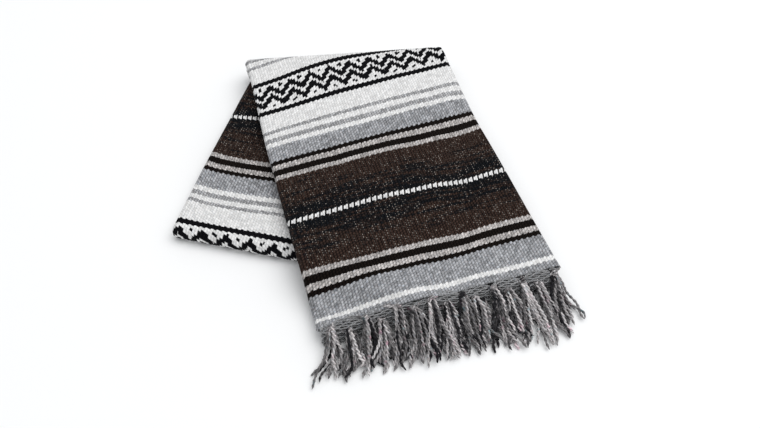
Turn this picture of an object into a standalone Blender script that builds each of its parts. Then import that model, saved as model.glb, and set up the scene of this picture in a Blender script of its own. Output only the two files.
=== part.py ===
"""A woven blanket, folded into a strip and folded twice across, lying on a flat surface.

The blanket is one panel, 1.32 m wide and 1.89 m long, with a knotted fringe at each end. It is folded
lengthwise into quarters, then in half at its middle, and the doubled strip is turned over once more on a
slanting line. So a lower leg of eight layers lies on the surface, an upper leg of eight layers crosses it at
an angle and bends down to the surface beside it, and both fringed ends lie at the front.

A leg is two packets of four layers. The outer cloth is a wall that wraps the packet that shows. The layers
that it hides are one solid. A place in a leg is given by its share of the way across, its way along the leg,
and its depth under the top of the leg.
"""

import math

import bmesh
import bpy
import numpy as np
from mathutils import Vector

# Cloth and layers
BLANKET_WIDTH = 1.320
STRIP = BLANKET_WIDTH / 4
CLOTH = 0.0025  # thickness of the weave
PACKET = 0.0108  # four layers
GAP = 0.0003  # air between neighbouring pieces
SECOND = PACKET + 2 * GAP  # depth of the leg's second packet
LEG = SECOND + PACKET
LEG_GAP = 0.0006  # air between the legs
SLACK = 0.0010  # air between the outer cloth and the layers inside it
ROLL = PACKET / 2  # radius of a packet's long edges
TUCK = 0.0015  # how far the outer cloth reaches in under its packet

# The slanting fold between the legs: its axis is a straight line, as high as the lower leg is thick
SLANT = math.radians(14.0)
AXIS_Y = 0.303  # where the axis crosses the upper leg's centreline
TOP_RADIUS = LEG + LEG_GAP / 2
TOP_SLIP = 0.35  # share of the sideways drift that the layers keep as they turn over

# The lower leg: its corner at the blanket's middle fold, and its turn from the upper leg
LOWER_CORNER = Vector((-0.313, 0.066, 0.0))
LOWER_TURN = math.radians(33.0)
LOWER_ACROSS = Vector((math.cos(LOWER_TURN), -math.sin(LOWER_TURN), 0.0))
LOWER_ALONG = Vector((math.sin(LOWER_TURN), math.cos(LOWER_TURN), 0.0))
MIDDLE_RADIUS = LEG / 2

# The upper leg's front end, and how it bends down from the lower leg to the surface
NEAR_END = -0.1615
NEAR_SLOPE = -0.073  # the end isn't quite square to the leg
BRIDGE = 0.066  # width of the slope beside the lower leg
FOOT_MARGIN = 0.012  # how far past the lower leg the slope starts

# The hidden layers' plain ends, which reach into the two folds
END_GAP = 0.0010  # from the outer cloth's ends under the folds
TONGUE_INSET = 0.0160
TONGUE_DEPTHS = (0.0041, 0.0177)
TONGUE_REACH = 0.0035
NOSE_RADIUS = MIDDLE_RADIUS - CLOTH - SLACK
NOSE_REACHES = (0.0070, 0.0040, 0.0)

# How finely the pieces are drawn
SIDE_STEPS = 4
TOP_STEPS = 12
UPPER_STEPS = 18
TURN_STEPS = 8
LOWER_STEPS = 8
LOWER_END = 0.998  # where the lower stretch of cloth stops, just short of the slanting fold

# The centre of the underside, which is the part's origin
REST = Vector((-0.090, 0.110, 0.0))

# How far the upper leg's long edges stray from a straight strip, from its near end to the slanting fold
UPPER_EDGES = (
    # share of its length, left edge, right edge
    (0.00, -0.0075, -0.0030),
    (0.35, -0.0005, 0.0000),
    (0.70, 0.0080, 0.0040),
    (1.00, 0.0170, 0.0080),
)

# The same for the lower leg, from the middle fold to the slanting fold, where the strip is drawn together
LOWER_EDGES = (
    # share of its length, left edge, right edge
    (0.00, 0.0000, 0.0000),
    (0.30, -0.0010, -0.0030),
    (0.65, 0.0010, -0.0170),
    (1.00, 0.0000, -0.0340),
)

# The fringe: warp ends gathered in bundles along a narrow header
HEADER = 0.0100  # depth of the header beyond the near end
HEADER_GAP = 0.0005
COLUMN = 0.0080  # how finely the header is drawn between bundles
FAR_STEP = 0.0140  # how far the far end lies past the near end
NEAR_BUNDLES = 8
END_MARGIN = 0.0190  # from a long edge to the first bundle's middle
LAYERS = 3
LAYER_GAP = 0.0009
LAYER = (PACKET - (LAYERS - 1) * LAYER_GAP) / LAYERS
LOCKS = 4  # locks side by side in one layer of a bundle
LOCK_WIDTH = 0.0029
LOCK_GAP = 0.0010
TIP_SHARE = 0.5  # how thick a lock's tip is beside its root
REACH = 0.083  # how far a lock at the centreline runs out from the header
REACH_SLOPE = 0.11  # and how much further for each metre to the right
SWAY = -0.0098  # sideways lean of the tips, at the centreline
SWAY_SLOPE = 0.075
SWAY_BEND = 1.5  # how the lean grows along a lock: as this power of the distance run out
LOCK_STEPS = 4
TIP_HEIGHT = 0.0024  # a tip's centre above the surface, in the lowest layer
TIP_RISE = 0.0021  # and how much higher each further layer lies
UNEVEN = 0.16  # how much shorter the shortest locks are
UNEVEN_TURN = 2.1  # in radians, from one lock to the next
UNEVEN_WAVE = 70.0  # in radians for each metre across

SMOOTH_ANGLE = math.radians(40.0)  # faces that meet at less than this are shaded as one

# How a lock sinks from its root to the surface, and how the locks of a bundle part
LOCK_SHAPE = (
    # share of its length, share of its root's height, spacing
    (0.00, 1.00, 1.00),
    (0.25, 1.08, 0.82),
    (0.50, 0.50, 0.98),
    (0.75, 0.15, 1.20),
    (1.00, 0.00, 1.40),
)


def smooth(value):
    """Ease from 0 to 1."""
    value = min(max(value, 0.0), 1.0)
    return value * value * (3.0 - 2.0 * value)


def steps(first, last, count):
    """Evenly spaced numbers, both ends included."""
    return [first + (last - first) * number / count for number in range(count + 1)]


def edges_at(table, share):
    """How far a leg's two long edges stray at a share of its length."""
    shares, lefts, rights = zip(*table)
    return float(np.interp(share, shares, lefts)), float(np.interp(share, shares, rights))


def upper_edges(share):
    """The upper leg's left and right edges, at a share of its length."""
    left, right = edges_at(UPPER_EDGES, share)
    return left - STRIP / 2, right + STRIP / 2


def lower_edges(share):
    """The lower leg's left and right edges, at a share of its length."""
    left, right = edges_at(LOWER_EDGES, share)
    return left, right + STRIP


def axis_y(x):
    """Where the slanting fold's axis passes at x."""
    return AXIS_Y - x * math.tan(SLANT)


def near_end_y(x):
    """Where the outer cloth ends, at x."""
    return NEAR_END + NEAR_SLOPE * x


def lower_length(across):
    """How far the lower leg runs from its middle fold to the slanting fold."""
    start = LOWER_CORNER + LOWER_ACROSS * across
    return (axis_y(start.x) - start.y) / (LOWER_ALONG.y + LOWER_ALONG.x * math.tan(SLANT))


def support(x, y):
    """Height of what the upper leg rests on: the lower leg, sloping down to the surface beside it."""
    offset = Vector((x, y, 0.0)) - LOWER_CORNER
    across = offset.dot(LOWER_ACROSS)
    along = offset.dot(LOWER_ALONG)
    right = lower_edges(along / lower_length(across))[1]
    beside = max(across - right - FOOT_MARGIN, 0.0)
    before = max(-along - MIDDLE_RADIUS - FOOT_MARGIN, 0.0)
    return (LEG + LEG_GAP) * (1.0 - smooth(math.hypot(beside, before) / BRIDGE))


def upper_point(across, inset, turn, depth):
    """A place in the upper leg. turn is 0 at the near end, 1 at the slanting fold's axis, 2 under it."""
    left, right = upper_edges(min(turn, 1.0))
    x = left + inset + (right - left - 2.0 * inset) * across
    if turn <= 1.0:
        y = near_end_y(x) + (axis_y(x) - near_end_y(x)) * turn
        return Vector((x, y, support(x, y) + LEG - depth))
    angle = (turn - 1.0) * math.pi
    radius = TOP_RADIUS - depth
    drift = TOP_RADIUS * angle * math.tan(SLANT) * TOP_SLIP
    axis = Vector((math.cos(SLANT), -math.sin(SLANT), 0.0))
    away = Vector((math.sin(SLANT), math.cos(SLANT), 0.0))
    place = Vector((x, axis_y(x), TOP_RADIUS)) - axis * drift
    return place + away * radius * math.sin(angle) + Vector((0.0, 0.0, radius * math.cos(angle)))


def lower_point(across, inset, turn, depth):
    """A place in the lower leg. turn is 1 at the slanting fold, 0 at the middle fold's axis, -1 under it."""
    left, right = lower_edges(max(turn, 0.0))
    side = left + inset + (right - left - 2.0 * inset) * across
    start = LOWER_CORNER + LOWER_ACROSS * side
    if turn >= 0.0:
        return start + LOWER_ALONG * lower_length(side) * turn + Vector((0.0, 0.0, LEG - depth))
    angle = -turn * math.pi
    radius = MIDDLE_RADIUS - depth
    height = MIDDLE_RADIUS + radius * math.cos(angle)
    return start - LOWER_ALONG * radius * math.sin(angle) + Vector((0.0, 0.0, height))


def packet_side(radius, count):
    """Inset and depth of a packet's rounded long edge, from its top round to its underside."""
    places = []
    for step in range(count + 1):
        angle = math.pi * step / count
        places.append((ROLL - radius * math.sin(angle), ROLL - radius * math.cos(angle)))
    return places


def material(name, color, roughness):
    """A plain woven finish."""
    finish = bpy.data.materials.new(name)
    finish.use_nodes = True
    shader = finish.node_tree.nodes["Principled BSDF"]
    shader.inputs["Base Color"].default_value = (*color, 1.0)
    shader.inputs["Roughness"].default_value = roughness
    shader.inputs["Metallic"].default_value = 0.0
    return finish


def split_quads(mesh_data):
    """Split each four-sided face along its higher diagonal, so that surfaces that face each other agree."""
    for face in list(mesh_data.faces):
        if len(face.verts) != 4:
            continue
        one, two, three, four = face.verts
        if one.co.z + three.co.z >= two.co.z + four.co.z:
            bmesh.utils.face_split(face, one, three)
        else:
            bmesh.utils.face_split(face, two, four)


def add_object(name, mesh_data, finish):
    """Put a bmesh into the scene as one smooth-shaded object, with the underside's centre as origin."""
    split_quads(mesh_data)
    mesh = bpy.data.meshes.new(name)
    mesh_data.to_mesh(mesh)
    mesh_data.free()
    mesh.materials.append(finish)
    mesh.shade_smooth()
    mesh.set_sharp_from_angle(angle=SMOOTH_ANGLE)
    item = bpy.data.objects.new(name, mesh)
    item.location = -REST
    bpy.context.scene.collection.objects.link(item)
    return item


def cloth_wall(name, place, turns, finish):
    """The outer cloth round one packet: a sheet rolled over both long edges, with its thickness inside.

    The first of turns is on top, where the sheet faces up.
    """
    side = packet_side(ROLL, SIDE_STEPS)
    side.append((ROLL + TUCK, PACKET))
    line = [(0.0, inset, depth) for inset, depth in reversed(side)]
    line += [(share, ROLL, 0.0) for share in steps(0.0, 1.0, TOP_STEPS)[1:-1]]
    line += [(1.0, inset, depth) for inset, depth in side]
    mesh_data = bmesh.new()
    grid = bmesh.ops.create_grid(mesh_data, x_segments=len(line) - 1, y_segments=len(turns) - 1, size=1.0)
    in_rows = sorted(grid["verts"], key=lambda vertex: (round(vertex.co.y, 5), round(vertex.co.x, 5)))
    for number, vertex in enumerate(in_rows):
        row, column = divmod(number, len(line))
        across, inset, depth = line[column]
        vertex.co = place(across, inset, turns[row], depth)
    mesh_data.normal_update()
    top = in_rows[len(line) // 2]
    if top.normal.z < 0.0:
        bmesh.ops.reverse_faces(mesh_data, faces=mesh_data.faces)
    item = add_object(name, mesh_data, finish)
    thickness = item.modifiers.new("cloth thickness", "SOLIDIFY")
    thickness.thickness = CLOTH
    thickness.offset = -1.0
    thickness.use_even_offset = True
    return item


def core_side():
    """Side of a leg's hidden layers, top to bottom: the packet in the cloth, a groove, the other packet."""
    inner = packet_side(ROLL - CLOTH - SLACK, SIDE_STEPS)
    outer = packet_side(ROLL, SIDE_STEPS)
    groove = ROLL + TUCK + SLACK
    places = list(inner)
    places.append((groove, inner[-1][1] + 2 * GAP))
    places.append((groove, PACKET + GAP / 3))
    places += [(inset, depth + SECOND) for inset, depth in outer]
    return places


def plain_side(top, bottom):
    """Side of a plain end that reaches into a fold: as many places as core_side, between two depths."""
    last = len(core_side()) - 1
    return [(TONGUE_INSET, top + (bottom - top) * number / last) for number in range(last + 1)]


def ring(place, turn, side, shift=None):
    """One ring of a solid: its left side, underside, right side and top, as lists of places."""
    move = shift or Vector()
    first_inset, first_depth = side[0]
    last_inset, last_depth = side[-1]
    shares = steps(0.0, 1.0, TOP_STEPS)[1:-1]
    left = [place(0.0, inset, turn, depth) + move for inset, depth in side]
    under = [place(share, last_inset, turn, last_depth) + move for share in shares]
    right = [place(1.0, inset, turn, depth) + move for inset, depth in reversed(side)]
    top = [place(share, first_inset, turn, first_depth) + move for share in reversed(shares)]
    return left, under, right, top


def cap(mesh_data, left, under, right, top):
    """Close a level end of a solid with a face for each level."""
    last = len(left) - 2
    for number in range(last + 1):
        corners = [left[number], left[number + 1]]
        if number == last:
            corners += under
        corners += [right[-2 - number], right[-1 - number]]
        if number == 0:
            corners += top
        mesh_data.faces.new(corners)


def humped_cap(mesh_data, place, turn, side, left, under, right, top):
    """Close an end whose middle is raised, with a grid of faces that follows the rise."""
    shares = steps(0.0, 1.0, TOP_STEPS)[1:-1]
    rows = [[left[0]] + top[::-1] + [right[-1]]]
    for number in range(1, len(left) - 1):
        inset, depth = side[number]
        inner = [mesh_data.verts.new(place(share, inset, turn, depth)) for share in shares]
        rows.append([left[number]] + inner + [right[-1 - number]])
    rows.append([left[-1]] + under + [right[0]])
    for upper, lower in zip(rows, rows[1:]):
        for number in range(TOP_STEPS):
            mesh_data.faces.new((upper[number], lower[number], lower[number + 1], upper[number + 1]))


def solid(rings, humped=None):
    """A closed solid through a row of rings. humped gives place, turn and side for a raised first end."""
    mesh_data = bmesh.new()
    made = [[[mesh_data.verts.new(place) for place in part] for part in row] for row in rings]
    loops = [sum(parts, []) for parts in made]
    for first, second in zip(loops, loops[1:]):
        for number, vertex in enumerate(first):
            before = number - 1
            mesh_data.faces.new((first[before], vertex, second[number], second[before]))
    if humped:
        humped_cap(mesh_data, *humped, *made[0])
    else:
        cap(mesh_data, *made[0])
    cap(mesh_data, *made[-1])
    bmesh.ops.recalc_face_normals(mesh_data, faces=mesh_data.faces)
    return mesh_data


def hidden_layers(finish):
    """All that the outer cloth hides, as one solid: the upper leg and its fold, joined to the lower leg."""
    side = core_side()
    upper_rings = [ring(upper_point, turn, side) for turn in steps(0.0, 1.0, UPPER_STEPS)]
    upper_rings += [ring(upper_point, turn, side) for turn in steps(1.0, 2.0, TURN_STEPS)[1:]]
    upper = add_object("hidden_layers", solid(upper_rings, (upper_point, 0.0, side)), finish)

    lower_rings = []
    for reach in NOSE_REACHES:
        half = math.sqrt(NOSE_RADIUS ** 2 - reach ** 2)
        nose = plain_side(MIDDLE_RADIUS - half, MIDDLE_RADIUS + half)
        lower_rings.append(ring(lower_point, 0.0, nose, LOWER_ALONG * -reach))
    lower_rings.append(ring(lower_point, 0.0, nose, LOWER_ALONG * END_GAP))
    body = [ring(lower_point, turn, side) for turn in steps(0.0, 1.0, LOWER_STEPS)]
    body[0] = ring(lower_point, 0.0, side, LOWER_ALONG * END_GAP)
    body[-1] = ring(lower_point, 1.0, side, LOWER_ALONG * -END_GAP)
    lower_rings += body
    tongue = plain_side(*TONGUE_DEPTHS)
    lower_rings.append(ring(lower_point, 1.0, tongue, LOWER_ALONG * -END_GAP))
    lower_rings.append(ring(lower_point, 1.0, tongue, LOWER_ALONG * TONGUE_REACH))
    lower = add_object("lower_layers", solid(lower_rings), finish)
    lower.hide_render = True
    lower.display_type = "WIRE"

    joined = upper.modifiers.new("join the legs", "BOOLEAN")
    joined.operation = "UNION"
    joined.solver = "MANIFOLD"
    joined.object = lower


def header_point(x, out, depth):
    """A place in the packets beyond the near end."""
    y = near_end_y(x)
    return Vector((x, y - out, support(x, y) + LEG - depth))


def between(start, end):
    """Places that divide the stretch between two bundles."""
    return steps(start, end, math.ceil((end - start) / COLUMN))[1:-1]


def header_columns(bundles):
    """Places across the header, and the bundle and number of the lock that starts at each that has one."""
    left, right = upper_edges(0.0)
    half_bundle = (LOCKS * LOCK_WIDTH + (LOCKS - 1) * LOCK_GAP) / 2.0
    columns = [left + ROLL]
    lock_at = {}
    for bundle in bundles:
        columns += between(columns[-1], bundle - half_bundle)
        for number in range(LOCKS):
            start = bundle - half_bundle + number * (LOCK_WIDTH + LOCK_GAP)
            lock_at[len(columns)] = (bundle, number)
            columns += [start, start + LOCK_WIDTH]
    columns += between(columns[-1], right - ROLL) + [right - ROLL]
    return columns, lock_at


def header_face(mesh_data, columns, out, depths):
    """One long face of the header: its rows of vertices, and those of its two rounded ends."""
    rows = [[mesh_data.verts.new(header_point(x, out, depth)) for x in columns] for depth in depths]
    left, right = upper_edges(0.0)
    ends = []
    for edge, inwards in ((left, 1.0), (right, -1.0)):
        end = []
        for inset, depth in packet_side(ROLL, SIDE_STEPS)[1:-1]:
            end.append(mesh_data.verts.new(header_point(edge + inwards * inset, out, depths[0] + depth)))
        ends.append(end)
    return rows, ends


def close_ends(mesh_data, rows, ends):
    """Fill the rounded ends of a long face."""
    mesh_data.faces.new([row[0] for row in rows] + ends[0][::-1])
    mesh_data.faces.new([row[-1] for row in rows] + ends[1][::-1])


def round_of(rows, ends):
    """The vertices all round a long face."""
    return rows[0] + ends[1] + rows[-1][::-1] + ends[0][::-1]


def lock_ring(root, first_reach, layer, number, bundle, share):
    """Four corners of a lock, at a share of its length."""
    shares, rises, spacings = zip(*LOCK_SHAPE)
    rise = float(np.interp(share, shares, rises))
    pitch = (LOCK_WIDTH + LOCK_GAP) * float(np.interp(share, shares, spacings))
    shorter = UNEVEN * (0.5 + 0.5 * math.sin(UNEVEN_TURN * number + UNEVEN_WAVE * bundle))
    reach = (first_reach + REACH_SLOPE * bundle) * (1.0 - shorter)
    sway = (SWAY + SWAY_SLOPE * bundle) * (reach * share / REACH) ** SWAY_BEND
    x = bundle + sway + pitch * (number - (LOCKS - 1) / 2.0)
    tip = TIP_HEIGHT + TIP_RISE * layer
    middle = Vector((x, root.y - reach * share, tip + (root.z - tip) * rise))
    thickness = 1.0 + (TIP_SHARE - 1.0) * share
    half_width = LOCK_WIDTH / 2.0 * thickness
    half_height = LAYER / 2.0 * thickness
    corners = ((-1, 1), (1, 1), (1, -1), (-1, -1))
    return [middle + Vector((across * half_width, 0.0, up * half_height)) for across, up in corners]


def draw_lock(mesh_data, cell, first_reach, layer, number, bundle):
    """Draw a lock out of a cell of the header's front face, and return the corners of its tip."""
    root = sum((corner.co for corner in cell), Vector()) / len(cell)
    for share in steps(0.0, 1.0, LOCK_STEPS)[1:]:
        places = lock_ring(root, first_reach, layer, number, bundle, share)
        ring_ahead = [mesh_data.verts.new(place) for place in places]
        for corner in range(len(cell)):
            mesh_data.faces.new((cell[corner - 1], cell[corner], ring_ahead[corner], ring_ahead[corner - 1]))
        cell = ring_ahead
    return cell


def fringe(name, top_depth, header_depth, bundles, finish):
    """One end's header strip, with locks drawn out of its front face."""
    columns, lock_at = header_columns(bundles)
    depths = []
    for layer in range(LAYERS):
        top = top_depth + layer * (LAYER + LAYER_GAP)
        depths += [top, top + LAYER]

    mesh_data = bmesh.new()
    back = header_face(mesh_data, columns, HEADER_GAP, (depths[0], depths[-1]))
    front = header_face(mesh_data, columns, header_depth, depths)
    back_round = round_of(*back)
    front_round = round_of(*front)
    for number, vertex in enumerate(front_round):
        before = number - 1
        mesh_data.faces.new((back_round[before], back_round[number], vertex, front_round[before]))
    close_ends(mesh_data, *back)
    close_ends(mesh_data, *front)

    back_rows = back[0]
    for column in range(len(columns) - 1):
        upper, lower = back_rows
        mesh_data.faces.new((upper[column], upper[column + 1], lower[column + 1], lower[column]))
    front_rows = front[0]
    for band, (upper, lower) in enumerate(zip(front_rows, front_rows[1:])):
        for column in range(len(columns) - 1):
            cell = [upper[column], upper[column + 1], lower[column + 1], lower[column]]
            if band % 2 == 0 and column in lock_at:
                bundle, number = lock_at[column]
                layer_up = LAYERS - 1 - band // 2
                cell = draw_lock(mesh_data, cell, REACH + HEADER - header_depth, layer_up, number, bundle)
            mesh_data.faces.new(cell)
    bmesh.ops.recalc_face_normals(mesh_data, faces=mesh_data.faces)
    add_object(name, mesh_data, finish)


def main():
    for item in list(bpy.data.objects):
        bpy.data.objects.remove(item, do_unlink=True)
    striped = material("striped weave", (0.16, 0.14, 0.13), 0.95)
    inner = material("hidden weave", (0.30, 0.29, 0.29), 0.95)
    yarn = material("fringe yarn", (0.32, 0.31, 0.33), 0.95)

    flat = steps(0.0, 1.0, UPPER_STEPS)
    cloth_wall("outer_cloth_upper", upper_point, flat + steps(1.0, 2.0, TURN_STEPS)[1:], striped)
    flat = steps(LOWER_END, 0.0, LOWER_STEPS)
    cloth_wall("outer_cloth_lower", lower_point, flat + steps(0.0, -1.0, TURN_STEPS)[1:], striped)
    hidden_layers(inner)

    left, right = upper_edges(0.0)
    near = steps(left + END_MARGIN, right - END_MARGIN, NEAR_BUNDLES - 1)
    far = [(one + other) / 2.0 for one, other in zip(near, near[1:])]
    fringe("fringe_near_end", 0.0, HEADER, near, yarn)
    fringe("fringe_far_end", SECOND, HEADER + FAR_STEP, far, yarn)


main()
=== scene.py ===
# %% [markdown]
# # A folded falsa blanket
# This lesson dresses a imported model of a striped, fringed blanket that lies folded on a white surface. The
# solids give the true folds. Here each one gets the look of thick woven yarn. All lengths are in metres.

# %% Load the frame
import math

import bmesh
import bpy
import numpy as np
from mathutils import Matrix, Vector


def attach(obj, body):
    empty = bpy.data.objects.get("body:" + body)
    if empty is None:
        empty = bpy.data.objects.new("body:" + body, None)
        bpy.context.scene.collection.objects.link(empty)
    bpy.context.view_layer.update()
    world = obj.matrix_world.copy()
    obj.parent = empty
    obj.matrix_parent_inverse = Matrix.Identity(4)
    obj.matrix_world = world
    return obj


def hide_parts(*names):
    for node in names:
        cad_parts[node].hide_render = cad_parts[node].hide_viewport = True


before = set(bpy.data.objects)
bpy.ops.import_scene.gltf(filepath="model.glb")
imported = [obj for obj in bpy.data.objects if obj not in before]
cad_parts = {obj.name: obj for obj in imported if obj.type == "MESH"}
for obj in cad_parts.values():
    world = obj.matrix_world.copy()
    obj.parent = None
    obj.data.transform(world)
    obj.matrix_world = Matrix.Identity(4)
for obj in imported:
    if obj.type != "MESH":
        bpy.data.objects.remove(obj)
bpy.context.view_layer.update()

# %% [markdown]
# ## Camera, floor and light
# The camera stands where the photograph was taken from: high in front, a little to the left. The floor is
# white and lit so evenly that it almost vanishes, as on a product page. One broad soft lamp gives the cloth
# its faint shadows, and the sky fills them.

# %% Camera
FRAME_WIDTH = 760
FOCAL_PIXELS = 700.0
SENSOR = 36.0
ELEVATION = math.radians(52.1)
AZIMUTH = math.radians(-19.9)
DISTANCE = 0.987
AIM = Vector((0.054, -0.123, 0.020))


def add_aimed(name, data, place):
    """Link a camera or a lamp that looks at the aim."""
    thing = bpy.data.objects.new(name, data)
    thing.location = place
    thing.rotation_mode = "QUATERNION"
    thing.rotation_quaternion = (AIM - place).to_track_quat("-Z", "Y")
    bpy.context.scene.collection.objects.link(thing)
    return thing


level = math.cos(ELEVATION)
back = Vector((math.sin(AZIMUTH) * level, -math.cos(AZIMUTH) * level, math.sin(ELEVATION)))
camera_data = bpy.data.cameras.new("camera")
camera_data.sensor_width = SENSOR
camera_data.lens = SENSOR * FOCAL_PIXELS / FRAME_WIDTH
camera = add_aimed("camera", camera_data, AIM + back * DISTANCE)
bpy.context.scene.camera = camera
print("camera at", [round(place, 3) for place in camera.location])

# %% Floor and light
FLOOR_SIZE = 12.0
FLOOR_WHITE = 0.92
FLOOR_ROUGHNESS = 0.8
SKY_WHITE = (0.97, 0.985, 1.0)
SKY_STRENGTH = 0.70
LAMP_PLACE = Vector((2.5, 0.3, 5.3))
LAMP_SIZE = 6.0
LAMP_POWER = 205.0


def mesh_of(form, name):
    """Turn a bmesh into a mesh."""
    mesh = bpy.data.meshes.new(name)
    form.to_mesh(mesh)
    form.free()
    return mesh


def new_finish(name, roughness):
    """A material and its shader."""
    finish = bpy.data.materials.new(name)
    finish.use_nodes = True
    shader = finish.node_tree.nodes["Principled BSDF"]
    shader.inputs["Roughness"].default_value = roughness
    return finish, shader


floor_form = bmesh.new()
bmesh.ops.create_grid(floor_form, x_segments=1, y_segments=1, size=FLOOR_SIZE / 2)
floor = bpy.data.objects.new("floor", mesh_of(floor_form, "floor"))
bpy.context.scene.collection.objects.link(floor)
floor_finish, floor_shader = new_finish("white floor", FLOOR_ROUGHNESS)
floor_shader.inputs["Base Color"].default_value = (FLOOR_WHITE, FLOOR_WHITE, FLOOR_WHITE, 1.0)
floor.data.materials.append(floor_finish)

sky = bpy.data.worlds.new("sky")
sky.use_nodes = True
sky.node_tree.nodes["Background"].inputs["Color"].default_value = (*SKY_WHITE, 1.0)
sky.node_tree.nodes["Background"].inputs["Strength"].default_value = SKY_STRENGTH
bpy.context.scene.world = sky

lamp_data = bpy.data.lights.new("softbox", "AREA")
lamp_data.shape = "DISK"
lamp_data.size = LAMP_SIZE
lamp_data.energy = LAMP_POWER
add_aimed("softbox", lamp_data, LAMP_PLACE)
bpy.context.scene.view_settings.view_transform = "Standard"
print("floor, sky and one softbox")

# %% [markdown]
# ## The folds in numbers
# The blanket is folded lengthwise into a strip, in half at its middle, and once more on a slanting line.
# These are the same measures that the solids were built from, so the cloth made here lies just where they do.
# A place in a leg is given by its share of the way across, an inset from the long edge, a distance along and
# a depth under the leg's top.

# %% Sizes of the folds
REST = np.array((-0.090, 0.110, 0.0))  # the underside's centre in the folding layout, to be the origin
STRIP = 0.330
PACKET = 0.0108  # four layers
GAP = 0.0003
SECOND = PACKET + 2 * GAP
LEG = SECOND + PACKET
LEG_GAP = 0.0006
ROLL = PACKET / 2
TUCK = 0.0015
SLANT = math.radians(14.0)
AXIS_Y = 0.303
TOP_RADIUS = LEG + LEG_GAP / 2
TOP_SLIP = 0.35
FOLD_INSET = 0.006
INSET_TURN = 2.0  # radians round the slanting fold by which the left edge is drawn in
HELD_SHARE = 0.30  # share of the strip across which the left edge's hold on the fold fades out
LOWER_CORNER = np.array((-0.313, 0.066, 0.0))
LOWER_TURN = math.radians(33.0)
LOWER_ACROSS = np.array((math.cos(LOWER_TURN), -math.sin(LOWER_TURN), 0.0))
LOWER_ALONG = np.array((math.sin(LOWER_TURN), math.cos(LOWER_TURN), 0.0))
MIDDLE_RADIUS = LEG / 2
NEAR_END = -0.1615
NEAR_SLOPE = -0.073
BRIDGE = 0.066
FOOT_MARGIN = 0.012
FLAT_HALF = STRIP / 2 - ROLL
UPPER_EDGES = (
    # share of its length, left edge, right edge
    (0.00, -0.0070, -0.0045),
    (0.35, -0.0005, 0.0018),
    (0.70, 0.0086, 0.0066),
    (1.00, 0.0210, 0.0125),
)
LOWER_EDGES = (
    # share of its length, left edge, right edge
    (0.00, 0.0000, 0.0000),
    (0.30, -0.0010, -0.0030),
    (0.65, 0.0010, -0.0170),
    (1.00, 0.0030, -0.0340),
)


def column(table, number):
    """One column of a table, as an array."""
    return np.array([row[number] for row in table])


def smooth(value):
    """Ease from 0 to 1."""
    value = np.clip(value, 0.0, 1.0)
    return value * value * (3.0 - 2.0 * value)


def edges_at(table, share):
    """How far the two long edges stray."""
    left, right = (np.interp(share, column(table, 0), column(table, number)) for number in (1, 2))
    return left, right


def upper_sides(share):
    """Where the upper leg's long edges lie, at a share of its length."""
    left, right = edges_at(UPPER_EDGES, share)
    return left - STRIP / 2, right + STRIP / 2


def cubic(share, step, low, high, low_slope, high_slope):
    """A smooth curve over one step, from its value and slope at each end."""
    rest = 1 - share
    from_low = low * (1 + 2 * share) * rest ** 2 + low_slope * step * share * rest ** 2
    from_high = high * (3 - 2 * share) * share ** 2 - high_slope * step * share ** 2 * rest
    return from_low + from_high


def curve_through(table, number, value):
    """A smooth curve through one column of a table, read at value."""
    places = column(table, 0)
    heights = column(table, number)
    slopes = np.gradient(heights, places)
    piece = np.clip(np.searchsorted(places, value) - 1, 0, len(places) - 2)
    step = places[piece + 1] - places[piece]
    share = np.clip((value - places[piece]) / step, 0.0, 1.0)
    return cubic(share, step, heights[piece], heights[piece + 1], slopes[piece], slopes[piece + 1])


def axis_y(x):
    """Where the slanting fold's axis passes."""
    return AXIS_Y - x * math.tan(SLANT)


def near_end_y(x):
    """Where the outer cloth of the solids ends."""
    return NEAR_END + NEAR_SLOPE * x


def lower_length(across):
    """How far the lower leg runs from the middle fold to the slanting fold."""
    start_x = LOWER_CORNER[0] + LOWER_ACROSS[0] * across
    start_y = LOWER_CORNER[1] + LOWER_ACROSS[1] * across
    return (axis_y(start_x) - start_y) / (LOWER_ALONG[1] + LOWER_ALONG[0] * math.tan(SLANT))


def past_lower_edge(x, y):
    """How far a place lies past the lower leg's right edge, and before its front fold."""
    x = x - LOWER_CORNER[0]
    y = y - LOWER_CORNER[1]
    across = x * LOWER_ACROSS[0] + y * LOWER_ACROSS[1]
    along = x * LOWER_ALONG[0] + y * LOWER_ALONG[1]
    right = STRIP + edges_at(LOWER_EDGES, along / lower_length(across))[1]
    return across - right, -along - MIDDLE_RADIUS


def support(x, y):
    """Height of what the upper leg rests on."""
    beside, before = past_lower_edge(x, y)
    beside = np.maximum(beside - FOOT_MARGIN, 0.0)
    before = np.maximum(before - FOOT_MARGIN, 0.0)
    return (LEG + LEG_GAP) * (1.0 - smooth(np.hypot(beside, before) / BRIDGE))


print("a leg is", round(LEG * 1000, 1), "mm thick")
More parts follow.
